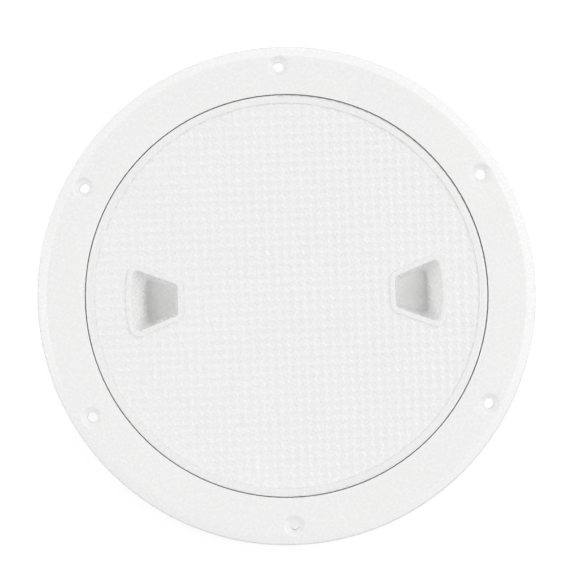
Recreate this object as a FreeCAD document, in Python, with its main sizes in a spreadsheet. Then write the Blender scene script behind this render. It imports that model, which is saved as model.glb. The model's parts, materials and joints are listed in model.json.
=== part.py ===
import FreeCAD, Part
import math
import operator
import os

import Sketcher

# Screw-out deck inspection plate, nominal six inch, in millimetres.
# A moulded ring is screwed to the deck. A round lid with a soft seal ring screws into
# its threaded collar, flush with the ring, and is turned by two finger pockets.
# The deck plane is z = 0, the lid's axis is Z and the pockets lie on the X axis.

SIZES = {
    "flange_height": 6.0,
    "flange_width": 19.35,
    "flange_skin": 2.5,
    "flange_lip": 3.0,
    "bevel_width": 4.1,
    "bevel_slope": 20.0,
    "bevel_round": 1.5,
    "flange_edge_round": 1.3,
    "flange_rib": 2.0,
    "seat_wall": 2.4,
    "seat_edge_round": 0.2,
    "seat_clearance": 0.3,
    "seat_lead_in": 1.0,
    "collar_wall": 3.0,
    "collar_depth": 18.5,
    "collar_edge": 0.5,
    "screw_count": 6,
    "screw_first_angle": 30.0,
    "screw_inset": 11.15,
    "screw_hole_dia": 4.2,
    "countersink_dia": 8.6,
    "countersink_angle": 90.0,
    "countersink_ease": 0.25,
    "boss_dia": 12.0,
    "thread_pitch": 5.0,
    "thread_height": 2.3,
    "thread_top_gap": 0.7,
    "thread_flank_gap": 0.35,
    "thread_flank_angle": 20.0,
    "thread_root": 0.3,
    "thread_low_inset": 3.0,
    "thread_high_inset": 3.0,
    "skirt_dia": 151.2,
    "skirt_wall": 2.8,
    "skirt_depth": 15.5,
    "skirt_lead_in": 0.8,
    "groove_slack": 0.3,
    "ring_section": 3.6,
    "ring_gap": 0.1,
    "ring_seat_gap": 0.15,
    "lid_gap": 0.45,
    "rim_overhang": 3.1,
    "rim_thickness": 3.2,
    "rim_width": 3.4,
    "rim_round": 1.1,
    "tread_depth": 0.8,
    "tread_edge_round": 0.3,
    "disc_thickness": 2.4,
    "hub_radius": 14.0,
    "ring_rib_radius": 35.0,
    "rib_width": 2.0,
    "rib_drop": 5.0,
    "rib_count": 8,
    "rib_first_angle": 22.5,
    "grip_count": 2,
    "grip_near": 44.2,
    "grip_far": 63.4,
    "grip_half_width": 6.1,
    "grip_side_angle": 21.4,
    "grip_corner": 2.0,
    "grip_border": 2.2,
    "grip_edge_round": 0.7,
    "grip_border_round": 0.3,
    "grip_bevel_depth": 9.4,
    "grip_bevel_inset": 4.8,
    "grip_side_inset": 0.9,
    "grip_waist_rise": 0.6,
    "grip_near_depth": 10.0,
    "grip_floor_tilt": 12.0,
    "grip_floor_inset": 1.6,
    "grip_foot_inset": 5.0,
    "grip_floor_side_angle": 17.0,
    "grip_floor_round": 0.6,
    "grip_bowl_round": 1.5,
    "grip_wall": 2.4,
}

OPERATORS = {"+": operator.add, "-": operator.sub, "*": operator.mul, "/": operator.truediv}
# A sketch numbers a piece's points from 1, and its two axes -1 and -2.
START, END, CENTRE = range(1, 4)
H_AXIS, V_AXIS = range(-1, -3, -1)
RIGHT_ANGLE = 90
FULL_TURN = 360
# Edges are picked out by a radius, reach or height that agrees this closely.
CLOSE = 1e-3


class Size:
    """A length, angle or ratio that keeps the formula it has on the sheet."""

    def __init__(self, number, formula):
        self.number = number
        self.formula = formula

    def __add__(self, other):
        return combined(self, "+", other)

    def __radd__(self, other):
        return combined(other, "+", self)

    def __sub__(self, other):
        return combined(self, "-", other)

    def __rsub__(self, other):
        return combined(other, "-", self)

    def __mul__(self, other):
        return combined(self, "*", other)

    def __rmul__(self, other):
        return combined(other, "*", self)

    def __truediv__(self, other):
        return combined(self, "/", other)

    def __rtruediv__(self, other):
        return combined(other, "/", self)

    def __neg__(self):
        return combined(0, "-", self)


def as_size(value):
    """Return value as a Size, with a plain number written out as its own formula."""
    if isinstance(value, Size):
        return value
    return Size(float(value), repr(value))


def combined(left, sign, right):
    """Return the Size of a sum, difference, product or quotient."""
    left = as_size(left)
    right = as_size(right)
    number = OPERATORS[sign](left.number, right.number)
    return Size(number, f"({left.formula} {sign} {right.formula})")


def of_angle(function, name, angle):
    """Return the Size of a named function of an angle in degrees."""
    return Size(function(math.radians(angle.number)), f"{name}({angle.formula})")


def sine(angle):
    return of_angle(math.sin, "sin", angle)


def cosine(angle):
    return of_angle(math.cos, "cos", angle)


def tangent(angle):
    return of_angle(math.tan, "tan", angle)


def slope_angle(drop, run):
    """Return the Size of the angle, in degrees, of a slope that drops over a run."""
    grade = drop / run
    return Size(math.degrees(math.atan(grade.number)), f"atan({grade.formula})")


def make_sheet(doc):
    """Put the driving sizes in a spreadsheet, one alias each."""
    sheet = doc.addObject("Spreadsheet::Sheet", "Sizes")
    for row, (alias, number) in enumerate(SIZES.items(), start=1):
        sheet.set(f"A{row}", alias)
        sheet.set(f"B{row}", str(number))
        sheet.setAlias(f"B{row}", alias)
    doc.recompute()
    return sheet


def size(alias):
    """Return one driving size."""
    return Size(float(SIZES[alias]), f"Sizes.{alias}")


class Layout:
    """Radii and heights that the three pieces share, worked out from the driving sizes."""

    def __init__(self):
        self.top = size("flange_height")
        self.set_radii()
        self.set_heights()
        self.set_seal()
        self.set_thread()

    def set_radii(self):
        self.skirt = size("skirt_dia") / 2
        self.skirt_inside = self.skirt - size("skirt_wall")
        self.bore = self.skirt + size("thread_height") + size("thread_top_gap")
        self.collar = self.bore + size("collar_wall")
        self.lid = self.bore + size("rim_overhang")
        self.tread = self.lid - size("rim_width")
        self.seat = self.lid + size("lid_gap")
        self.flange = self.seat + size("flange_width")
        self.screw = self.seat + size("screw_inset")

    def set_heights(self):
        self.rim_under = self.top - size("rim_thickness")
        self.seat_floor = self.rim_under - size("seat_clearance")
        self.tread_floor = self.top - size("tread_depth")
        self.disc_under = self.tread_floor - size("disc_thickness")
        self.rib_under = self.disc_under - size("rib_drop")
        self.channel = self.top - size("flange_skin")
        self.groove_under = self.rim_under - size("ring_section") - size("groove_slack")

    def set_seal(self):
        """Lay the seal ring between the lid's neck and the bore, under the lid's rim."""
        section_radius = size("ring_section") / 2
        self.ring_radius = self.bore - size("ring_seat_gap") - section_radius
        self.ring_height = self.rim_under - size("ring_gap") - section_radius
        self.neck = self.ring_radius - section_radius - size("ring_gap")

    def set_thread(self):
        height = size("thread_height")
        self.flank_run = height * tangent(size("thread_flank_angle"))
        engaged = height - size("thread_top_gap")
        shared_run = engaged * tangent(size("thread_flank_angle"))
        self.crest = size("thread_pitch") / 2 - size("thread_flank_gap") - shared_run
        self.ring_thread_start = size("thread_low_inset") - size("collar_depth")
        self.ring_thread_rise = -self.ring_thread_start - size("thread_high_inset")
        self.lid_thread_start = self.ring_thread_start + size("thread_pitch") / 2
        self.lid_thread_rise = self.ring_thread_rise - size("thread_pitch") / 2


def origin_part(body, role):
    """Return one of a body's own origin planes or axes."""
    for feature in body.Origin.OriginFeatures:
        if feature.Role == role:
            return feature
    raise ValueError(f"{body.Label} has no {role}")


def make_sketch(body, name, role="XY_Plane", shift=None, axis=None, turn=None):
    """Attach a sketch to an origin plane, moved by shift and turned about axis."""
    sketch = body.newObject("Sketcher::SketchObject", name)
    sketch.AttachmentSupport = [(origin_part(body, role), "")]
    sketch.MapMode = "FlatFace"
    if axis is not None:
        rotation = FreeCAD.Rotation(axis, turn.number)
        sketch.AttachmentOffset = FreeCAD.Placement(FreeCAD.Vector(), rotation)
        sketch.setExpression("AttachmentOffset.Rotation.Angle", turn.formula)
    for letter, value in (shift or {}).items():
        sketch.setExpression(f"AttachmentOffset.Base.{letter}", as_size(value).formula)
    return sketch


def bind(sketch, kind, *parts, value):
    """Add a dimension to a sketch and tie it to the sheet."""
    index = sketch.addConstraint(Sketcher.Constraint(kind, *parts, value.number))
    sketch.setExpression(f"Constraints[{index}]", value.formula)


def place_point(sketch, line, end, across, up):
    """Fix a point of a line at a place, on an axis where a coordinate is 0."""
    for kind, value, axis in (("DistanceX", across, V_AXIS), ("DistanceY", up, H_AXIS)):
        if isinstance(value, Size):
            bind(sketch, kind, line, end, value=value)
        else:
            sketch.addConstraint(Sketcher.Constraint("PointOnObject", line, end, axis))


def draw_polygon(sketch, points, curved=None, centre=None):
    """Draw a closed outline of straight sides, every corner tied to the sheet.

    The side numbered curved, if there is one, is an arc that runs anticlockwise
    about centre.
    """
    corners = [FreeCAD.Vector(as_size(x).number, as_size(y).number, 0) for x, y in points]
    count = len(corners)
    for side in range(count):
        first = corners[side]
        last = corners[(side + 1) % count]
        if side == curved:
            sketch.addGeometry(arc_between(centre, first, last), False)
        else:
            sketch.addGeometry(Part.LineSegment(first, last), False)
    for side in range(count):
        joint = Sketcher.Constraint("Coincident", side, END, (side + 1) % count, START)
        sketch.addConstraint(joint)
    for side, (across, up) in enumerate(points):
        place_point(sketch, side, START, across, up)


def arc_between(centre, first, last):
    """Return the arc from first to last, anticlockwise about centre."""
    middle = FreeCAD.Vector(centre[0].number, centre[1].number, 0)
    begin = first - middle
    finish = last - middle
    return arc(middle, begin.Length, math.atan2(begin.y, begin.x), math.atan2(finish.y, finish.x))


def draw_circle(sketch, across, radius):
    """Draw a circle centred on the sketch's horizontal axis."""
    centre = FreeCAD.Vector(across.number, 0, 0)
    circle = Part.Circle(centre, FreeCAD.Vector(0, 0, 1), radius.number)
    sketch.addGeometry(circle, False)
    place_point(sketch, 0, CENTRE, across, 0)
    bind(sketch, "Radius", 0, value=radius)


def draw_bar(sketch, inner, outer, width):
    """Draw a rectangle that runs outwards along the sketch's horizontal axis."""
    half = width / 2
    draw_polygon(sketch, [(inner, -half), (outer, -half), (outer, half), (inner, half)])


def arc(centre, radius, first, last):
    """Return an arc of a circle between two angles in radians."""
    circle = Part.Circle(centre, FreeCAD.Vector(0, 0, 1), radius)
    return Part.ArcOfCircle(circle, first, last)


class GripOutline:
    """The plan of a finger pocket: a trapezoid with a bowed far side and round corners.

    The near side lies on the sketch's vertical axis. The two flanks open out from it by
    angle, and the far side is an arc that crosses the horizontal axis at length.
    """

    def __init__(self, length, bow, half_width, angle, corner):
        self.length = length
        self.bow = bow
        self.half_width = half_width
        self.angle = angle
        self.corner = corner

    def grown(self, margin):
        """Return the outline moved outwards by margin all round."""
        slant = (1 - sine(self.angle)) / cosine(self.angle)
        return GripOutline(
            self.length + 2 * margin,
            self.bow + margin,
            self.half_width + margin * slant,
            self.angle,
            self.corner + margin,
        )

    def far_corner(self, near_centre):
        """Return the centre of the upper far corner and its bearing from the bow's centre."""
        angle = math.radians(self.angle.number)
        along = FreeCAD.Vector(math.cos(angle), math.sin(angle), 0)
        bow_centre = FreeCAD.Vector(self.length.number - self.bow.number, 0, 0)
        offset = near_centre - bow_centre
        reach = self.bow.number - self.corner.number
        half = offset.dot(along)
        travel = -half + math.sqrt(half**2 - offset.Length**2 + reach**2)
        centre = near_centre + along * travel
        bearing = centre - bow_centre
        return centre, math.atan2(bearing.y, bearing.x)

    def draw(self, sketch):
        """Draw the near side, two flanks, the far arc and four corner arcs."""
        angle = math.radians(self.angle.number)
        radius = self.corner.number
        rise = self.half_width.number - radius * (1 - math.sin(angle)) / math.cos(angle)
        near = FreeCAD.Vector(radius, rise, 0)
        far, bearing = self.far_corner(near)
        outward = FreeCAD.Vector(-math.sin(angle), math.cos(angle), 0) * radius
        start = near + outward
        end = far + outward
        bow_centre = FreeCAD.Vector(self.length.number - self.bow.number, 0, 0)
        square = math.pi / 2 + angle
        pieces = [
            Part.LineSegment(FreeCAD.Vector(0, -rise, 0), FreeCAD.Vector(0, rise, 0)),
            Part.LineSegment(start, end),
            Part.LineSegment(mirrored(start), mirrored(end)),
            arc(bow_centre, self.bow.number, -bearing, bearing),
            arc(near, radius, square, math.pi),
            arc(mirrored(near), radius, -math.pi, -square),
            arc(far, radius, bearing, square),
            arc(mirrored(far), radius, -square, -bearing),
        ]
        for piece in pieces:
            sketch.addGeometry(piece, False)
        self.constrain(sketch)

    def constrain(self, sketch):
        """Join the pieces smoothly and tie the outline to the sheet."""
        near_side, upper, lower, far_side = 0, 1, 2, 3
        near_upper, near_lower, far_upper, far_lower = 4, 5, 6, 7
        joints = [
            (near_side, END, near_upper, END),
            (near_upper, START, upper, START),
            (upper, END, far_upper, END),
            (far_upper, START, far_side, END),
            (far_side, START, far_lower, END),
            (far_lower, START, lower, END),
            (lower, START, near_lower, END),
            (near_lower, START, near_side, START),
        ]
        for joint in joints:
            sketch.addConstraint(Sketcher.Constraint("Tangent", *joint))
        for corner in (near_lower, far_upper, far_lower):
            sketch.addConstraint(Sketcher.Constraint("Equal", near_upper, corner))
        bind(sketch, "Radius", near_upper, value=self.corner)
        sketch.addConstraint(Sketcher.Constraint("PointOnObject", near_side, START, V_AXIS))
        sketch.addConstraint(Sketcher.Constraint("PointOnObject", far_side, CENTRE, H_AXIS))
        bind(sketch, "DistanceX", far_side, CENTRE, value=self.length - self.bow)
        bind(sketch, "Radius", far_side, value=self.bow)
        flank_distance = self.half_width * cosine(self.angle)
        for flank, lean in ((upper, 1), (lower, -1)):
            turn = Size(math.radians(lean * self.angle.number), (lean * self.angle).formula)
            bind(sketch, "Angle", flank, value=turn)
            bind(sketch, "Distance", H_AXIS, START, flank, value=flank_distance)


def mirrored(point):
    """Return a point mirrored in the horizontal axis."""
    return FreeCAD.Vector(point.x, -point.y, 0)


def add_feature(body, kind, name, **settings):
    """Add a PartDesign feature and set its plain properties."""
    feature = body.newObject(f"PartDesign::{kind}", name)
    for key, value in settings.items():
        if isinstance(value, Size):
            feature.setExpression(key, value.formula)
        else:
            setattr(feature, key, value)
    body.Document.recompute()
    return feature


def revolve(body, name, points):
    """Turn a half section of straight sides about the Z axis."""
    sketch = make_sketch(body, f"{name}_section", "XZ_Plane")
    draw_polygon(sketch, points)
    return turn_about_axis(body, name, sketch)


def turn_about_axis(body, name, sketch):
    """Turn a half section about the Z axis."""
    axis = (sketch, ["V_Axis"])
    return add_feature(body, "Revolution", name, Profile=sketch, ReferenceAxis=axis)


def pad(body, name, sketch, length, down=False):
    """Pad a sketch upwards, or downwards where asked."""
    return add_feature(body, "Pad", name, Profile=sketch, Length=length, Reversed=down)


def polar(body, name, originals, count):
    """Repeat features evenly about the Z axis."""
    pattern = body.newObject("PartDesign::PolarPattern", name)
    pattern.Originals = originals
    pattern.Axis = (origin_part(body, "Z_Axis"), [""])
    pattern.Angle = FULL_TURN
    pattern.setExpression("Occurrences", count.formula)
    body.Tip = pattern
    body.Document.recompute()
    return pattern


def ring_edges(shape, radius, height):
    """Return the names of the round edges with a radius and a height."""
    names = []
    for index, edge in enumerate(shape.Edges, start=1):
        if not isinstance(edge.Curve, Part.Circle):
            continue
        same_radius = math.isclose(edge.Curve.Radius, radius.number, abs_tol=CLOSE)
        same_height = math.isclose(edge.Curve.Center.z, height.number, abs_tol=CLOSE)
        if same_radius and same_height:
            names.append(f"Edge{index}")
    return names


def round_edges(body, name, names, radius):
    """Fillet named edges of the body's last feature."""
    if not names:
        raise ValueError(f"{body.Label}: no edges for {name}")
    return add_feature(body, "Fillet", name, Base=(body.Tip, names), Radius=radius)


def add_thread(body, name, layout, wall, inward, start, rise):
    """Wind a right-handed trapezoid ridge round a wall, its base sunk into it."""
    side = -1 if inward else 1
    root = size("thread_root")
    spread = root * tangent(size("thread_flank_angle"))
    foot = layout.crest / 2 + layout.flank_run + spread
    tip = layout.crest / 2
    sunk = wall - side * root
    crown = wall + side * size("thread_height")
    sketch = make_sketch(body, f"{name}_section", "XZ_Plane")
    corners = [(sunk, start - foot), (crown, start - tip), (crown, start + tip), (sunk, start + foot)]
    draw_polygon(sketch, corners)
    body.Document.recompute()
    return add_feature(
        body,
        "AdditiveHelix",
        name,
        Profile=sketch,
        ReferenceAxis=(sketch, ["V_Axis"]),
        Mode="pitch-height-angle",
        Pitch=size("thread_pitch"),
        Height=rise,
    )


def revolve_ring(body, layout):
    """Turn the ring's section: collar, seat, flange and its underside channel."""
    channel_inside = layout.seat + size("seat_wall")
    channel_outside = layout.flange - size("flange_lip")
    collar_end = -size("collar_depth")
    break_edge = size("collar_edge")
    slope = size("bevel_slope")
    bevel_foot = layout.top - size("bevel_width") * tangent(slope)
    radius = size("flange_edge_round")
    touch = radius * tangent((RIGHT_ANGLE - slope) / 2)
    points = [
        (layout.bore, collar_end + break_edge),
        (layout.bore + break_edge, collar_end),
        (layout.collar - break_edge, collar_end),
        (layout.collar, collar_end + break_edge),
        (layout.collar, 0),
        (channel_inside, 0),
        (channel_inside, layout.channel),
        (channel_outside, layout.channel),
        (channel_outside, 0),
        (layout.flange, 0),
        (layout.flange, bevel_foot - touch),
        (layout.flange - touch * cosine(slope), bevel_foot + touch * sine(slope)),
        (layout.flange - size("bevel_width"), layout.top),
        (layout.seat, layout.top),
        (layout.seat, layout.seat_floor),
        (layout.bore + size("seat_lead_in"), layout.seat_floor),
        (layout.bore, layout.seat_floor - size("seat_lead_in")),
    ]
    rounded_side = 10
    sketch = make_sketch(body, "ring_section", "XZ_Plane")
    draw_polygon(sketch, points, rounded_side, (layout.flange - radius, bevel_foot - touch))
    bind(sketch, "Radius", rounded_side, value=radius)
    turn_about_axis(body, "ring", sketch)


def round_flange(body, layout):
    """Soften the top of the flange's bevel and the edge of its seat."""
    bevel_top = layout.flange - size("bevel_width")
    bevel = ring_edges(body.Tip.Shape, bevel_top, layout.top)
    round_edges(body, "bevel_edge", bevel, size("bevel_round"))
    seat = ring_edges(body.Tip.Shape, layout.seat, layout.top)
    round_edges(body, "seat_edge", seat, size("seat_edge_round"))


def add_bosses(body, layout):
    """Stand a boss in the channel at each screw and a rib half way between screws."""
    up = FreeCAD.Vector(0, 0, 1)
    boss = make_sketch(body, "boss_plan", axis=up, turn=size("screw_first_angle"))
    draw_circle(boss, layout.screw, size("boss_dia") / 2)
    first_boss = pad(body, "screw_boss", boss, layout.channel)
    polar(body, "screw_bosses", [first_boss], size("screw_count"))
    between = size("screw_first_angle") + FULL_TURN / size("screw_count") / 2
    rib = make_sketch(body, "flange_rib_plan", axis=up, turn=between)
    inner = layout.seat + size("seat_wall") / 2
    outer = layout.flange - size("flange_lip") / 2
    draw_bar(rib, inner, outer, size("flange_rib"))
    first_rib = pad(body, "flange_rib", rib, layout.channel)
    polar(body, "flange_ribs", [first_rib], size("screw_count"))


def add_screw_holes(body, layout):
    """Sink one countersunk screw hole with an eased mouth and repeat it."""
    turn = size("screw_first_angle")
    upright = FreeCAD.Vector(0, 1, 0)
    sketch = make_sketch(body, "screw_hole_section", "XZ_Plane", axis=upright, turn=turn)
    hole = size("screw_hole_dia") / 2
    mouth = size("countersink_dia") / 2
    lean = size("countersink_angle") / 2
    ease = size("countersink_ease")
    points = [
        (layout.screw, layout.top),
        (layout.screw, -hole),
        (layout.screw + hole, -hole),
        (layout.screw + hole, layout.top - (mouth - hole) / tangent(lean)),
        (layout.screw + mouth - ease * sine(lean), layout.top - ease * cosine(lean)),
        (layout.screw + mouth + ease, layout.top),
    ]
    draw_polygon(sketch, points)
    body.Document.recompute()
    axis = (sketch, ["Edge1"])
    hole_cut = add_feature(body, "Groove", "screw_hole", Profile=sketch, ReferenceAxis=axis)
    polar(body, "screw_holes", [hole_cut], size("screw_count"))


def make_deck_frame(doc, layout):
    """Build the mounting ring that is screwed to the deck."""
    body = doc.addObject("PartDesign::Body", "deck_frame")
    revolve_ring(body, layout)
    round_flange(body, layout)
    add_bosses(body, layout)
    add_screw_holes(body, layout)
    start = layout.ring_thread_start
    rise = layout.ring_thread_rise
    add_thread(body, "collar_thread", layout, layout.bore, True, start, rise)
    return body


def lid_section(layout):
    """Half section of the lid: tread floor, rim, neck, skirt and two ring ribs."""
    skirt_end = -size("skirt_depth")
    lead_in = size("skirt_lead_in")
    half_rib = size("rib_width") / 2
    under = layout.disc_under
    points = [
        (0, layout.tread_floor),
        (layout.tread, layout.tread_floor),
        (layout.tread, layout.top),
        (layout.lid, layout.top),
        (layout.lid, layout.rim_under),
        (layout.neck, layout.rim_under),
        (layout.neck, layout.groove_under),
        (layout.skirt, layout.groove_under),
        (layout.skirt, skirt_end + lead_in),
        (layout.skirt - lead_in, skirt_end),
        (layout.skirt_inside, skirt_end),
        (layout.skirt_inside, under),
    ]
    for middle in (size("ring_rib_radius"), size("hub_radius")):
        points += [
            (middle + half_rib, under),
            (middle + half_rib, layout.rib_under),
            (middle - half_rib, layout.rib_under),
            (middle - half_rib, under),
        ]
    points.append((0, under))
    return points


def add_ribs(body, layout):
    """Stiffen the disc with radial ribs from the hub to the skirt, clear of the pockets."""
    up = FreeCAD.Vector(0, 0, 1)
    shift = {"z": layout.disc_under}
    turn = size("rib_first_angle")
    sketch = make_sketch(body, "rib_plan", shift=shift, axis=up, turn=turn)
    outer = layout.skirt_inside + size("skirt_wall") / 2
    draw_bar(sketch, size("hub_radius"), outer, size("rib_width"))
    rib = pad(body, "radial_rib", sketch, size("rib_drop"), down=True)
    polar(body, "radial_ribs", [rib], size("rib_count"))


def pocket_opening():
    """Plan of a finger pocket where it opens in the lid's top."""
    return GripOutline(
        size("grip_far") - size("grip_near"),
        size("grip_far"),
        size("grip_half_width"),
        size("grip_side_angle"),
        size("grip_corner"),
    )


def waist_run():
    """Return how far a pocket's waist reaches outwards from its near side."""
    reach = size("grip_far") - size("grip_bevel_inset")
    return reach - size("grip_near") - size("grip_side_inset")


def waist_depth():
    """Return the depth of the waist's near side, a little above the floor's near side."""
    return size("grip_near_depth") - size("grip_waist_rise")


def waist_tilt():
    """Return the slope of the waist, from its near side to the foot of the leaning side."""
    return slope_angle(size("grip_bevel_depth") - waist_depth(), waist_run())


def pocket_waist():
    """Plan of a pocket where its leaning outer side ends and the upright well begins.

    It is measured in the plane of the waist.
    """
    inset = size("grip_side_inset")
    reach = size("grip_far") - size("grip_bevel_inset")
    angle = size("grip_side_angle")
    half_width = size("grip_half_width") + inset * tangent(angle) - inset / cosine(angle)
    along = cosine(waist_tilt())
    return GripOutline(
        waist_run() / along, reach * along, half_width, angle, size("grip_corner")
    )


def pocket_floor():
    """Plan of a pocket's sloping floor, measured in the plane of the floor."""
    inset = size("grip_floor_inset")
    tilt = size("grip_floor_tilt")
    foot = size("grip_far") - size("grip_foot_inset")
    run = foot - size("grip_near") - inset
    half_width = size("grip_half_width") + inset * tangent(size("grip_side_angle")) - inset
    angle = size("grip_floor_side_angle")
    return GripOutline(run / cosine(tilt), foot * cosine(tilt), half_width, angle, inset)


def sketch_opening(body, name, layout, margin):
    """Draw the outline of a pocket's opening, grown by margin, level with the lid's top."""
    sketch = make_sketch(body, name, shift={"x": size("grip_near") - margin, "z": layout.top})
    pocket_opening().grown(margin).draw(sketch)
    body.Document.recompute()
    return sketch


def sketch_waist(body, name, layout, margin):
    """Draw the outline of a pocket's waist, grown by margin, along its slope."""
    tilt = waist_tilt()
    near = size("grip_near") + size("grip_side_inset") - margin * cosine(tilt)
    height = layout.top - waist_depth() + margin * sine(tilt)
    return sketch_slope(body, name, pocket_waist(), margin, near, height, tilt)


def sketch_floor(body, name, layout, margin):
    """Draw the outline of a pocket's floor, grown by margin, along its slope."""
    back, lift = floor_offset(margin)
    near = size("grip_near") + size("grip_floor_inset") - back
    height = layout.top - size("grip_near_depth") + lift
    tilt = size("grip_floor_tilt")
    return sketch_slope(body, name, pocket_floor(), margin, near, height, tilt)


def sketch_slope(body, name, outline, margin, near, height, tilt):
    """Draw an outline, grown by margin, on a slope that begins at a reach and a height."""
    shift = {"x": near, "z": height}
    across = FreeCAD.Vector(0, 1, 0)
    sketch = make_sketch(body, name, shift=shift, axis=across, turn=tilt)
    outline.grown(margin).draw(sketch)
    body.Document.recompute()
    return sketch


def loft_pocket(body, kind, name, layout, border, wall):
    """Loft from the opening past the waist to the floor, all grown by a wall."""
    top = sketch_opening(body, f"{name}_top", layout, border)
    waist = sketch_waist(body, f"{name}_waist", layout, wall)
    floor = sketch_floor(body, f"{name}_floor", layout, wall)
    return add_feature(body, kind, name, Profile=top, Sections=[waist, floor], Ruled=True)


def add_pockets(body, layout):
    """Hang a walled bowl from the disc for each finger pocket and hollow it out."""
    border = size("grip_border")
    wall = size("grip_wall")
    flush = as_size(0)
    bowl = loft_pocket(body, "AdditiveLoft", "bowl", layout, border, wall)
    hollow = loft_pocket(body, "SubtractiveLoft", "pocket", layout, flush, flush)
    polar(body, "finger_pockets", [bowl, hollow], size("grip_count"))
    opening_side = near_sides(body.Tip.Shape, size("grip_near"), layout.top)
    round_edges(body, "pocket_edge", opening_side, size("grip_edge_round"))
    border_side = near_sides(body.Tip.Shape, size("grip_near") - border, layout.top)
    round_edges(body, "border_edge", border_side, size("grip_border_round"))
    floor_reach = size("grip_near") + size("grip_floor_inset")
    floor_side = near_sides(body.Tip.Shape, floor_reach, layout.top - size("grip_near_depth"))
    round_edges(body, "floor_edge", floor_side, size("grip_floor_round"))
    back, lift = floor_offset(wall)
    bowl_height = layout.top - size("grip_near_depth") + lift
    bowl_side = near_sides(body.Tip.Shape, floor_reach - back, bowl_height)
    round_edges(body, "bowl_edge", bowl_side, size("grip_bowl_round"))


def floor_offset(margin):
    """Return how far back and up the floor's outline starts when it is grown by margin."""
    tilt = size("grip_floor_tilt")
    return margin * (sine(tilt) + cosine(tilt)), margin * (sine(tilt) - cosine(tilt))


def near_sides(shape, reach, height):
    """Return the straight edges whose middle lies at a height and a reach from the axis.

    A pocket's other edges run on smoothly from its near side, and a fillet follows them.
    """
    names = []
    for index, edge in enumerate(shape.Edges, start=1):
        if not isinstance(edge.Curve, Part.Line):
            continue
        middle = edge.CenterOfMass
        at_reach = math.isclose(math.hypot(middle.x, middle.y), reach.number, abs_tol=CLOSE)
        at_height = math.isclose(middle.z, height.number, abs_tol=CLOSE)
        if at_reach and at_height:
            names.append(f"Edge{index}")
    return names


def make_screw_lid(doc, layout):
    """Build the lid with its rim, ribs, finger pockets and threaded skirt."""
    body = doc.addObject("PartDesign::Body", "screw_lid")
    revolve(body, "disc", lid_section(layout))
    rim = ring_edges(body.Tip.Shape, layout.lid, layout.top)
    round_edges(body, "rim_edge", rim, size("rim_round"))
    step = ring_edges(body.Tip.Shape, layout.tread, layout.top)
    round_edges(body, "tread_edge", step, size("tread_edge_round"))
    add_ribs(body, layout)
    add_pockets(body, layout)
    start = layout.lid_thread_start
    rise = layout.lid_thread_rise
    add_thread(body, "skirt_thread", layout, layout.skirt, False, start, rise)
    return body


def make_seal_ring(doc, layout):
    """Build the round seal that lies on the lid's neck and closes on the collar's bore."""
    ring = doc.addObject("Part::Torus", "o_ring")
    ring.setExpression("Radius1", layout.ring_radius.formula)
    ring.setExpression("Radius2", (size("ring_section") / 2).formula)
    ring.setExpression("Placement.Base.z", layout.ring_height.formula)
    return ring


def check_document(doc, pieces):
    """Stop if any object failed or any piece has no sound solid."""
    for item in doc.Objects:
        if "Invalid" in item.State or "Error" in item.State:
            raise RuntimeError(f"{item.Label} failed: {item.State}")
    for piece in pieces:
        shape = piece.Shape
        if shape.isNull() or not shape.isValid() or len(shape.Solids) != 1:
            raise RuntimeError(f"{piece.Label} is not one sound solid")


def main():
    """Build the document, check it and write one file for each piece."""
    doc = FreeCAD.newDocument("deck_plate")
    make_sheet(doc)
    layout = Layout()
    pieces = [
        make_deck_frame(doc, layout),
        make_screw_lid(doc, layout),
        make_seal_ring(doc, layout),
    ]
    doc.recompute()
    check_document(doc, pieces)
    os.makedirs("parts", exist_ok=True)
    for piece in pieces:
        piece.Shape.exportStep(f"parts/{piece.Label}.step")
        print(piece.Label, round(piece.Shape.Volume, 1), piece.Shape.BoundBox)


main()
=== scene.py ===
import json
import logging
import math
from contextlib import contextmanager
from dataclasses import dataclass, field
from enum import Enum
from typing import Any, Callable, Iterator, Optional, Sequence, Union

import bmesh
import bpy
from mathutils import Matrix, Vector

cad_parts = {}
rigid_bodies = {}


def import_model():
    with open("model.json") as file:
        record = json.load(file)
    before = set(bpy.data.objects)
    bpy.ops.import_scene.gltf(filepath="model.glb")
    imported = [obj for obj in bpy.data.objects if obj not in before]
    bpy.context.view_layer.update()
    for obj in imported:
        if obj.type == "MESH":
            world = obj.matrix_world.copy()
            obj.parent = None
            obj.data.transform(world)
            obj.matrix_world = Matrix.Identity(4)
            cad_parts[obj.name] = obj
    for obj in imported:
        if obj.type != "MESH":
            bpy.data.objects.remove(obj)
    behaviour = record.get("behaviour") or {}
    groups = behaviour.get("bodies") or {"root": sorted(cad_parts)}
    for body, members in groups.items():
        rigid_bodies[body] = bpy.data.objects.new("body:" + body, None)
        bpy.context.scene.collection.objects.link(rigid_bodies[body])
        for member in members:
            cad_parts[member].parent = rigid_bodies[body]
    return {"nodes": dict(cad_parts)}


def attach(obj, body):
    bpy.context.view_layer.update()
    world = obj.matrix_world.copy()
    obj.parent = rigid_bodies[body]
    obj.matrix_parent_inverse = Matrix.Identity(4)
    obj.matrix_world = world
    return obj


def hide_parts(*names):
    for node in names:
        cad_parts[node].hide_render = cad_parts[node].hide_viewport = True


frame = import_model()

# Looks of a screw-out deck inspection plate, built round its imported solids. Lengths are in
# metres, +Z is up, the deck plane is z = 0 and the finger pockets lie on the X axis.

MM = 0.001
IMAGE_SIDE = 576
WHITE = (1.0, 1.0, 1.0, 1.0)

log = logging.getLogger("deck_plate")

Colour = tuple[float, float, float, float]
Point = tuple[float, float, float]
Settings = dict[str, Any]


class Body(Enum):
    """Parts of the plate that move apart from each other."""

    FRAME = "frame"
    LID = "lid"
    SEAL = "seal"


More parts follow.
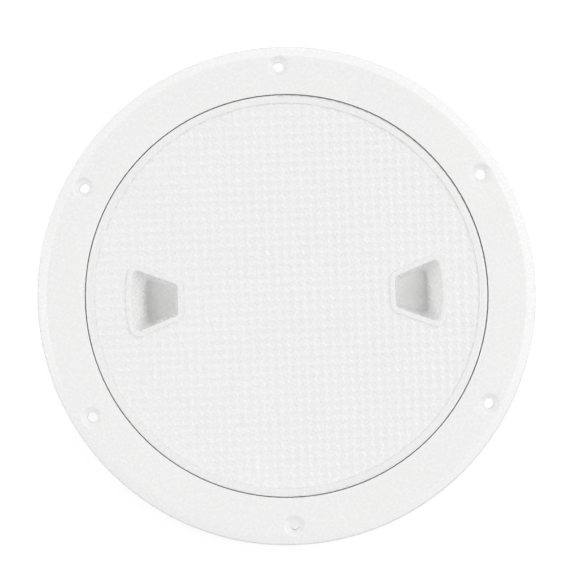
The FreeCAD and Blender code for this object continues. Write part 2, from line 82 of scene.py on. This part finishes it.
class Slot(Enum):
    """Finishes of the plate that can be repainted."""

    FRAME_PLASTIC = "frame_plastic"
    LID_PLASTIC = "lid_plastic"
    SEAL_RUBBER = "seal_rubber"


# Surfaces


class Field:
    """A number that changes over a surface. Arithmetic on it adds Math nodes."""

    def __init__(self, graph: "Graph", socket: bpy.types.NodeSocket) -> None:
        """Wrap a socket.

        Args:
            graph: The node tree that the socket belongs to.
            socket: The output that carries the number.
        """
        self.graph = graph
        self.socket = socket

    def _maths(self, operation: str, left: "Operand", right: "Operand") -> "Field":
        """Add one Math node.

        Args:
            operation: The node's operation.
            left: Its first value.
            right: Its second value.

        Returns:
            The node's result.
        """
        node = self.graph.add("ShaderNodeMath", {"operation": operation}, {0: left, 1: right})
        return Field(self.graph, node.outputs[0])

    def __add__(self, other: "Operand") -> "Field":
        """Return the sum."""
        return self._maths("ADD", self, other)

    def __radd__(self, other: "Operand") -> "Field":
        """Return the sum with a number on the left."""
        return self._maths("ADD", other, self)

    def __sub__(self, other: "Operand") -> "Field":
        """Return the difference."""
        return self._maths("SUBTRACT", self, other)

    def __rsub__(self, other: "Operand") -> "Field":
        """Return the difference from a number on the left."""
        return self._maths("SUBTRACT", other, self)

    def __mul__(self, other: "Operand") -> "Field":
        """Return the product."""
        return self._maths("MULTIPLY", self, other)

    def __rmul__(self, other: "Operand") -> "Field":
        """Return the product with a number on the left."""
        return self._maths("MULTIPLY", other, self)


Operand = Union[Field, float]
Link = Union[Field, bpy.types.NodeSocket, float, Sequence[float]]


class Graph:
    """The node tree of a material or of the world."""

    def __init__(self, tree: bpy.types.NodeTree) -> None:
        """Empty a node tree and hold it.

        Args:
            tree: The tree to fill.
        """
        self.tree = tree
        tree.nodes.clear()

    def add(
        self,
        kind: str,
        settings: Optional[Settings] = None,
        sockets: Optional[dict[Union[int, str], Link]] = None,
    ) -> bpy.types.Node:
        """Add one node, set it up and fill its sockets.

        Args:
            kind: The node's type.
            settings: Its properties, which are set before its sockets.
            sockets: Values or links of its inputs, by number or name.

        Returns:
            The new node.
        """
        node = self.tree.nodes.new(kind)
        for name, value in (settings or {}).items():
            if name == "stops":
                self._set_stops(node, value)
            else:
                setattr(node, name, value)
        for key, value in (sockets or {}).items():
            self.fill(node.inputs[key], value)
        return node

    @staticmethod
    def _set_stops(node: bpy.types.Node, stops: Sequence[tuple[float, float]]) -> None:
        """Set a grey ramp.

        Args:
            node: The ramp.
            stops: Position and level of each stop, in order.
        """
        elements = node.color_ramp.elements
        while len(elements) < len(stops):
            elements.new(1.0)
        for element, (position, level) in zip(elements, stops):
            element.position = position
            element.color = (level, level, level, 1.0)

    def ramp(self, value: Field, stops: Sequence[tuple[float, float]]) -> Field:
        """Turn a number into a level by a ramp.

        Args:
            value: The number, from 0 to 1.
            stops: Position and level of each stop, in order.

        Returns:
            The level.
        """
        node = self.add("ShaderNodeValToRGB", {"stops": stops}, {"Fac": value})
        return Field(self, node.outputs["Color"])

    def fill(self, target: bpy.types.NodeSocket, value: Link) -> None:
        """Link or set one input.

        Args:
            target: The input.
            value: A field, an output, a number or a colour.
        """
        if isinstance(value, Field):
            value = value.socket
        if isinstance(value, bpy.types.NodeSocket):
            self.tree.links.new(value, target)
        else:
            target.default_value = value

    def place(self) -> bpy.types.NodeSocket:
        """Return the point on the surface in the plate's own frame."""
        return self.add("ShaderNodeTexCoord").outputs["Object"]

    def noise(self, scale: float, detail: float = 2.0, rough: float = 0.5) -> Field:
        """Add a noise over the plate.

        Args:
            scale: Features to a metre.
            detail: Finer layers on the first.
            rough: Strength of the finer layers.

        Returns:
            A field about 0.5.
        """
        inputs = {"Vector": self.place(), "Scale": scale, "Detail": detail, "Roughness": rough}
        return Field(self, self.add("ShaderNodeTexNoise", None, inputs).outputs["Fac"])

    def mix(self, share: Link, first: Link, second: Link) -> bpy.types.NodeSocket:
        """Mix two colours.

        Args:
            share: How much of the second.
            first: The first colour.
            second: The second colour.

        Returns:
            The mixed colour.
        """
        node = self.add("ShaderNodeMix", {"data_type": "RGBA"}, {0: share, 6: first, 7: second})
        return node.outputs[2]

    def bump(self, height: Field, distance: float, strength: float) -> bpy.types.NodeSocket:
        """Turn a height into a normal.

        Args:
            height: The height over the surface.
            distance: Height in metres that 1 stands for.
            strength: Share of the effect.

        Returns:
            The bumped normal.
        """
        inputs = {"Height": height, "Distance": distance, "Strength": strength}
        return self.add("ShaderNodeBump", None, inputs).outputs["Normal"]


def new_material(name: str) -> tuple[bpy.types.Material, Graph]:
    """Make an empty material.

    Args:
        name: The material's name.

    Returns:
        The material and its node tree.
    """
    material = bpy.data.materials.new(name)
    material.use_nodes = True
    return material, Graph(material.node_tree)


@dataclass(frozen=True)
class MouldedPlastic:
    """White glass-filled plastic with a satin, finely eroded mould finish."""

    name: str
    pale: Colour = (0.872, 0.872, 0.868, 1.0)
    deep: Colour = (0.848, 0.849, 0.846, 1.0)
    roughness: float = 0.27
    roughness_spread: float = 0.08
    refraction: float = 1.55
    cloud_scale: float = 35.0
    satin_scale: float = 900.0
    grain_scale: float = 4200.0
    grain_height: float = 0.003 * MM
    flow_scale: float = 60.0
    flow_height: float = 0.03 * MM

    def material(self) -> bpy.types.Material:
        """Return the finish as a material."""
        material, graph = new_material(self.name)
        clouds = graph.noise(self.cloud_scale, 3.0)
        satin = graph.noise(self.satin_scale, 2.0)
        grain = graph.noise(self.grain_scale, 3.0, 0.6)
        flow = graph.noise(self.flow_scale, 1.0)
        height = grain * (self.grain_height / MM) + flow * (self.flow_height / MM)
        shader = graph.add(
            "ShaderNodeBsdfPrincipled",
            None,
            {
                "Base Color": graph.mix(clouds, self.pale, self.deep),
                "Roughness": self.roughness + (satin - 0.5) * self.roughness_spread,
                "IOR": self.refraction,
                "Normal": graph.bump(height, MM, 1.0),
            },
        )
        graph.add("ShaderNodeOutputMaterial", None, {"Surface": shader.outputs[0]})
        return material


@dataclass(frozen=True)
class SealRubber:
    """Black moulded rubber with a dull, slightly dusty skin."""

    name: str
    colour: Colour = (0.018, 0.018, 0.019, 1.0)
    dusty: Colour = (0.034, 0.034, 0.035, 1.0)
    roughness: float = 0.48
    skin_scale: float = 2600.0
    skin_height: float = 0.01 * MM
    dust_scale: float = 260.0

    def material(self) -> bpy.types.Material:
        """Return the finish as a material."""
        material, graph = new_material(self.name)
        skin = graph.noise(self.skin_scale, 3.0, 0.6)
        dust = graph.noise(self.dust_scale, 4.0)
        shader = graph.add(
            "ShaderNodeBsdfPrincipled",
            None,
            {
                "Base Color": graph.mix(dust, self.colour, self.dusty),
                "Roughness": self.roughness + (dust - 0.5) * 0.2,
                "Normal": graph.bump(skin, self.skin_height, 1.0),
            },
        )
        graph.add("ShaderNodeOutputMaterial", None, {"Surface": shader.outputs[0]})
        return material


Finish = Union[MouldedPlastic, SealRubber]


# Mesh tools


def pick(piece: bpy.types.Object) -> None:
    """Deselect everything else and make one piece active.

    Args:
        piece: The piece to work on.
    """
    for item in bpy.context.scene.objects:
        item.select_set(False)
    piece.select_set(True)
    bpy.context.view_layer.objects.active = piece


def clear_selection() -> None:
    """Leave no object selected, so that the next primitive is alone."""
    for item in bpy.context.scene.objects:
        item.select_set(False)


@contextmanager
def editing(piece: bpy.types.Object, mode: str = "FACE") -> Iterator[None]:
    """Work on a piece in edit mode with nothing selected at first.

    Args:
        piece: The piece to edit.
        mode: What is selected: VERT, EDGE or FACE.

    Yields:
        Nothing.
    """
    pick(piece)
    bpy.ops.object.mode_set(mode="EDIT")
    bpy.ops.mesh.select_mode(type=mode)
    bpy.ops.mesh.select_all(action="DESELECT")
    yield
    bpy.ops.object.mode_set(mode="OBJECT")


def select_faces(piece: bpy.types.Object, wanted: Callable[[Vector, Vector], bool]) -> int:
    """Select the faces of a piece in edit mode by their place and normal.

    Args:
        piece: The piece in edit mode.
        wanted: Takes a face's middle and normal, and says whether it is selected.

    Returns:
        How many faces are selected.
    """
    mesh = bmesh.from_edit_mesh(piece.data)
    count = 0
    for face in mesh.faces:
        chosen = wanted(face.calc_center_median(), face.normal)
        face.select_set(chosen)
        count += chosen
    bmesh.update_edit_mesh(piece.data)
    return count


def apply_modifier(piece: bpy.types.Object, kind: str, settings: Settings) -> None:
    """Add a modifier and apply it.

    Args:
        piece: The piece to change.
        kind: The modifier's type.
        settings: Its properties.
    """
    pick(piece)
    modifier = piece.modifiers.new(kind.lower(), kind)
    for name, value in settings.items():
        setattr(modifier, name, value)
    bpy.ops.object.modifier_apply(modifier=modifier.name)


def cut(piece: bpy.types.Object, cutter: bpy.types.Object, operation: str) -> None:
    """Cut a piece with another and delete the cutter.

    Args:
        piece: The piece to cut.
        cutter: The shape to cut with.
        operation: INTERSECT or DIFFERENCE.
    """
    settings = {"operation": operation, "object": cutter, "solver": "EXACT"}
    apply_modifier(piece, "BOOLEAN", settings)
    bpy.data.objects.remove(cutter)


def settle(piece: bpy.types.Object) -> None:
    """Put a piece's place, turn and scale into its mesh.

    Args:
        piece: The piece to settle.
    """
    pick(piece)
    bpy.ops.object.transform_apply(location=True, rotation=True, scale=True)


def smooth(piece: bpy.types.Object, degrees: float) -> None:
    """Shade a piece smoothly up to an angle, with flat faces kept flat.

    Args:
        piece: The piece to shade.
        degrees: Edges that turn by more than this stay sharp.
    """
    pick(piece)
    bpy.ops.object.shade_smooth_by_angle(angle=math.radians(degrees), keep_sharp_edges=False)
    apply_modifier(piece, "WEIGHTED_NORMAL", {"weight": 90, "keep_sharp": True})


def dress(piece: bpy.types.Object, body: Body, finish: Finish) -> None:
    """Give a finished piece its body and material.

    Args:
        piece: The piece.
        body: What it moves with.
        finish: Its own finish.
    """
    piece.data.materials.clear()
    piece.data.materials.append(finish.material())
    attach(piece, body.value)
    log.info("%s: %d faces", piece.name, len(piece.data.polygons))


@dataclass(frozen=True)
class Seat:
    """The wall round the lid and its rounded edge, drawn a little closer to the lid."""

    radius: float = 82.15 * MM
    closer: float = 0.15 * MM
    inner: float = 82.00 * MM
    outer: float = 82.34 * MM
    foot: float = 2.55 * MM

    def narrow(self, piece: bpy.types.Object) -> None:
        """Move the wall and its edge inwards.

        Args:
            piece: The merged ring.
        """
        share = 1.0 - self.closer / self.radius
        with editing(piece):
            count = select_faces(
                piece,
                lambda middle, normal: self.inner < middle.xy.length < self.outer
                and middle.z > self.foot,
            )
            bpy.ops.transform.resize(value=(share, share, 1.0), center_override=(0.0, 0.0, 0.0))
        log.info("%s: %d faces of the seat moved in", piece.name, count)


@dataclass
class Moulding:
    """A moulded piece whose shape is the solid's own, merged and shaded smoothly."""

    node: str
    piece_name: str
    body: Body
    slot: Slot
    finish: Finish
    crease: float = 28.0
    weld: float = 1e-6
    seat: Optional["Seat"] = None

    def build(self) -> bpy.types.Object:
        """Copy the solid, merge its triangles and shade it.

        Returns:
            The piece that stands for the solid.
        """
        piece = frame["nodes"][self.node].copy()
        piece.data = piece.data.copy()
        piece.name = self.piece_name
        piece.parent = None
        for key in [key for key in piece.keys() if key.startswith("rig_")]:
            del piece[key]
        bpy.context.scene.collection.objects.link(piece)
        with editing(piece, "VERT"):
            bpy.ops.mesh.select_all(action="SELECT")
            bpy.ops.mesh.remove_doubles(threshold=self.weld)
        if self.seat is not None:
            self.seat.narrow(piece)
        pick(piece)
        bpy.ops.mesh.customdata_custom_splitnormals_clear()
        smooth(piece, self.crease)
        dress(piece, self.body, self.finish)
        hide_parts(self.node)
        return piece


@dataclass
class DiamondTread:
    """The lid's non-slip pattern: raised and sunk diamonds side by side like a chessboard.

    Each diamond is shaped in steps from its edge inwards, given as width and rise.
    """

    finish: Finish
    pitch_across: float = 3.64 * MM
    pitch_along: float = 3.76 * MM
    first_across: float = -0.20
    first_along: float = -0.54
    cells: int = 63
    middle_height: float = 5.50 * MM
    raised_steps: tuple[tuple[float, float], ...] = (
        (0.26 * MM, 0.10 * MM),
        (0.34 * MM, 0.08 * MM),
    )
    sunk_steps: tuple[tuple[float, float], ...] = ((0.28 * MM, -0.11 * MM),)
    base_height: float = 5.10 * MM
    edge_radius: float = 78.7 * MM
    edge_points: int = 256
    grips: tuple["GripHole", ...] = field(default_factory=lambda: (GripHole(0.0), GripHole(180.0)))

    def build(self) -> bpy.types.Object:
        """Model the pattern as one closed slab that lies on the lid's floor."""
        piece = self._grid()
        self._shape(piece)
        self._close(piece)
        cut(piece, self._disc(), "INTERSECT")
        for grip in self.grips:
            cut(piece, grip.cutter(), "DIFFERENCE")
        pick(piece)
        bpy.ops.object.shade_flat()
        dress(piece, Body.LID, self.finish)
        return piece

    def _centre(self) -> Point:
        """Return the middle of one raised diamond near the lid's middle."""
        across = self.first_across * self.pitch_across
        return across, self.first_along * self.pitch_along, self.middle_height

    def _grid(self) -> bpy.types.Object:
        """Lay out a square grid, turned so that its cells are upright diamonds."""
        clear_selection()
        side = self.cells * MM
        bpy.ops.mesh.primitive_grid_add(x_subdivisions=self.cells, y_subdivisions=self.cells, size=side)
        piece = bpy.context.active_object
        piece.name = "lid_tread"
        piece.rotation_euler.z = math.radians(45)
        settle(piece)
        diagonal = math.sqrt(2) * MM
        piece.scale = (self.pitch_across / diagonal, self.pitch_along / diagonal, 1)
        piece.location = self._centre()
        settle(piece)
        return piece

    def _raised(self, middle: Vector) -> bool:
        """Say whether the diamond at a place is a raised one."""
        across, _, _ = self._centre()
        steps = (middle.x - across) / (self.pitch_across / 2)
        return round(steps) % 2 == 0

    def _shape(self, piece: bpy.types.Object) -> None:
        """Raise every second diamond to a flat top with a shoulder and sink the others.

        Args:
            piece: The grid.
        """
        for raised, steps in ((True, self.raised_steps), (False, self.sunk_steps)):
            with editing(piece):
                select_faces(
                    piece,
                    lambda middle, normal: abs(middle.z - self.middle_height) < 1e-7
                    and normal.z > 0.999
                    and self._raised(middle) is raised,
                )
                for width, rise in steps:
                    bpy.ops.mesh.inset(thickness=width, depth=rise, use_individual=True)

    def _close(self, piece: bpy.types.Object) -> None:
        """Give the sheet of diamonds sides and an underside.

        Args:
            piece: The shaped sheet.
        """
        drop = self.base_height - self.middle_height
        with editing(piece, "EDGE"):
            bpy.ops.mesh.select_non_manifold()
            bpy.ops.mesh.extrude_edges_move(TRANSFORM_OT_translate={"value": (0, 0, drop)})
            bpy.ops.mesh.edge_face_add()

    def _disc(self) -> bpy.types.Object:
        """Return the round shape that the pattern is cut to."""
        clear_selection()
        bpy.ops.mesh.primitive_cylinder_add(
            vertices=self.edge_points,
            radius=self.edge_radius,
            depth=4 * MM,
            location=(0, 0, self.middle_height),
        )
        return bpy.context.active_object


@dataclass
class GripHole:
    """The opening that a finger pocket leaves in the tread, a little inside its border."""

    bearing: float
    near: float = 43.8 * MM
    far: float = 63.8 * MM
    half_width: float = 6.1 * MM
    flank_angle: float = 21.4
    margin: float = 0.4 * MM

    def cutter(self) -> bpy.types.Object:
        """Cut a round shape by three planes to the pocket's plan."""
        clear_selection()
        bpy.ops.mesh.primitive_cylinder_add(
            vertices=128, radius=self.far, depth=6 * MM, location=(0, 0, 5.5 * MM)
        )
        piece = bpy.context.active_object
        settle(piece)
        slant = math.radians(self.flank_angle)
        opening = self.near + self.margin
        self._slice(piece, Vector((self.near, 0.0, 0.0)), Vector((-1.0, 0.0, 0.0)))
        for side in (1.0, -1.0):
            outward = Vector((-math.sin(slant), side * math.cos(slant), 0.0))
            corner = Vector((opening, side * self.half_width, 0.0))
            self._slice(piece, corner + outward * self.margin, outward)
        piece.rotation_euler.z = math.radians(self.bearing)
        settle(piece)
        return piece

    @staticmethod
    def _slice(piece: bpy.types.Object, place: Vector, normal: Vector) -> None:
        """Cut away what lies beyond a plane and close the cut.

        Args:
            piece: The shape to cut.
            place: A point of the plane.
            normal: The plane's outward direction.
        """
        with editing(piece):
            bpy.ops.mesh.select_all(action="SELECT")
            bpy.ops.mesh.bisect(plane_co=place, plane_no=normal, use_fill=True, clear_outer=True)


# Studio


@dataclass
class Softbox:
    """A square lamp that points at the plate."""

    name: str
    bearing: float
    tilt: float
    distance: float
    side: float
    power: float

    def build(self) -> None:
        """Hang the lamp."""
        turn = math.radians(self.bearing)
        lean = math.radians(self.tilt)
        out = Vector((math.sin(lean) * math.cos(turn), math.sin(lean) * math.sin(turn), math.cos(lean)))
        data = bpy.data.lights.new(self.name, "AREA")
        data.shape = "SQUARE"
        data.size = self.side
        data.energy = self.power
        lamp = bpy.data.objects.new(self.name, data)
        lamp.location = out * self.distance
        lamp.rotation_mode = "QUATERNION"
        lamp.rotation_quaternion = (-out).to_track_quat("-Z", "Y")
        bpy.context.scene.collection.objects.link(lamp)


@dataclass
class Studio:
    """White table with painted shade on its near side, plain soft light and the camera straight above
    the plate.
    """

    floor_height: float = -18.5 * MM
    floor_side: float = 8.0
    floor_white: float = 0.80
    # Painted shade: the near side of the table is this dark to light bounced onto the plate, so the
    # plate's near edge comes out darker; the camera, gloss and glass see the table white.
    floor_painted_shade: float = 0.03
    floor_reach: float = 0.4
    floor_painted_shade_by_depth: tuple[tuple[float, float], ...] = ((0.26, 0.0), (0.30, 1.0))
    floor_glow: float = 0.55
    floor_shade: float = 0.62
    tent: float = 1.75
    tent_by_height: tuple[tuple[float, float], ...] = (
        (0.0, 0.35),
        (0.20, 0.55),
        (0.40, 0.90),
        (0.50, 1.0),
        (0.75, 1.0),
        (0.845, 0.08),
    )
    tent_by_depth: tuple[tuple[float, float], ...] = (
        (0.0, 0.90),
        (0.14, 1.05),
        (0.50, 1.0),
        (0.82, 0.83),
    )
    dark_by_height: tuple[tuple[float, float], ...] = ((0.0, 1.0), (0.35, 1.0), (0.50, 0.0))
    dark_by_depth: tuple[tuple[float, float], ...] = ((0.20, 1.0), (0.36, 0.0))
    tent_right: float = 0.12
    camera_height: float = 0.756
    lens: float = 115.5
    turn: float = -2.06
    shift_x: float = 1.35 / IMAGE_SIDE
    shift_y: float = 7.97 / IMAGE_SIDE
    lamps: tuple[Softbox, ...] = (
        Softbox("right_softbox", 2.0, 32.0, 1.2, 0.50, 1.2),
        Softbox("left_softbox", 182.0, 42.0, 1.2, 0.40, 0.9),
    )

    def build(self) -> None:
        """Set up floor, light and camera."""
        self._floor()
        self._world()
        for lamp in self.lamps:
            lamp.build()
        self._camera()
        bpy.context.scene.view_settings.view_transform = "Standard"

    @staticmethod
    def _seen(graph: Graph) -> Field:
        """Return 1 for what the camera sees straight, mirrored or through glass.

        Args:
            graph: The tree that needs it.
        """
        rays = graph.add("ShaderNodeLightPath").outputs
        straight = Field(graph, rays["Is Camera Ray"])
        mirrored = Field(graph, rays["Is Glossy Ray"])
        return straight + mirrored + Field(graph, rays["Is Transmission Ray"])

    def _floor(self) -> None:
        """Lay a white table that keeps the plate's shadow, with painted shade on its near side for
        light bounced onto the plate.
        """
        clear_selection()
        bpy.ops.mesh.primitive_plane_add(size=self.floor_side, location=(0, 0, self.floor_height))
        floor = bpy.context.active_object
        floor.name = "floor"
        material, graph = new_material("table_with_painted_shade")
        white = (self.floor_white,) * 3 + (1.0,)
        painted_shade = (self.floor_painted_shade,) * 3 + (1.0,)
        shade = (self.floor_shade,) * 3 + (1.0,)
        split = graph.add("ShaderNodeSeparateXYZ", None, {"Vector": graph.place()}).outputs
        # Painted shade: the table is dark on its near side for all rays but those of the camera, gloss
        # and glass.
        depth = 0.5 + Field(graph, split["Y"]) * (1 / self.floor_reach)
        share = graph.ramp(depth, self.floor_painted_shade_by_depth)
        table = graph.mix(share, painted_shade, white)
        lit = graph.add("ShaderNodeBsdfDiffuse", None, {"Color": table})
        faint = graph.add("ShaderNodeBsdfDiffuse", None, {"Color": shade})
        glow = graph.add("ShaderNodeEmission", None, {"Color": WHITE, "Strength": self.floor_glow})
        shown = graph.add("ShaderNodeAddShader", None, {0: faint.outputs[0], 1: glow.outputs[0]})
        both = graph.add(
            "ShaderNodeMixShader",
            None,
            {0: self._seen(graph), 1: lit.outputs[0], 2: shown.outputs[0]},
        )
        graph.add("ShaderNodeOutputMaterial", None, {"Surface": both.outputs[0]})
        floor.data.materials.append(material)

    def _world(self) -> None:
        """Surround the plate with even white light."""
        world = bpy.data.worlds.new("white_room")
        bpy.context.scene.world = world
        world.use_nodes = True
        graph = Graph(world.node_tree)
        seen = Field(graph, graph.add("ShaderNodeLightPath").outputs["Is Camera Ray"])
        towards = graph.add("ShaderNodeTexCoord").outputs["Generated"]
        split = graph.add("ShaderNodeSeparateXYZ", None, {"Vector": towards}).outputs
        right, far, up = (Field(graph, split[axis]) for axis in "XYZ")
        tent = self.tent * graph.ramp(up, self.tent_by_height)
        depth = 0.5 + far * 0.5
        tent = tent * graph.ramp(depth, self.tent_by_depth)
        dark = graph.ramp(up, self.dark_by_height) * graph.ramp(depth, self.dark_by_depth)
        tent = tent * (1.0 - dark)
        lit = tent * (1.0 + right * self.tent_right)
        strength = lit + seen * (1.0 - lit)
        room = graph.add("ShaderNodeBackground", None, {"Color": WHITE, "Strength": strength})
        graph.add("ShaderNodeOutputWorld", None, {"Surface": room.outputs[0]})

    def _camera(self) -> None:
        """Look straight down at the plate, as the photograph does."""
        data = bpy.data.cameras.new("camera")
        data.lens = self.lens
        data.shift_x = self.shift_x
        data.shift_y = self.shift_y
        camera = bpy.data.objects.new("camera", data)
        camera.location = (0, 0, self.camera_height)
        camera.rotation_euler = (0, 0, math.radians(self.turn))
        bpy.context.scene.collection.objects.link(camera)
        bpy.context.scene.camera = camera


def main() -> None:
    """Build the plate's pieces in order, then the studio."""
    logging.basicConfig(level=logging.INFO, format="%(name)s: %(message)s")
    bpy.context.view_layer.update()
    frame_finish = MouldedPlastic("frame_plastic")
    lid_finish = MouldedPlastic("lid_plastic", (0.852, 0.852, 0.848, 1.0), (0.828, 0.829, 0.826, 1.0))
    seal_finish = SealRubber("seal_rubber")
    Moulding(
        "deck_frame", "mounting_ring", Body.FRAME, Slot.FRAME_PLASTIC, frame_finish, seat=Seat()
    ).build()
    Moulding("screw_lid", "lid_moulding", Body.LID, Slot.LID_PLASTIC, lid_finish).build()
    Moulding("o_ring", "seal_ring", Body.SEAL, Slot.SEAL_RUBBER, seal_finish).build()
    DiamondTread(lid_finish).build()
    Studio().build()


if __name__ == "__main__":
    main()
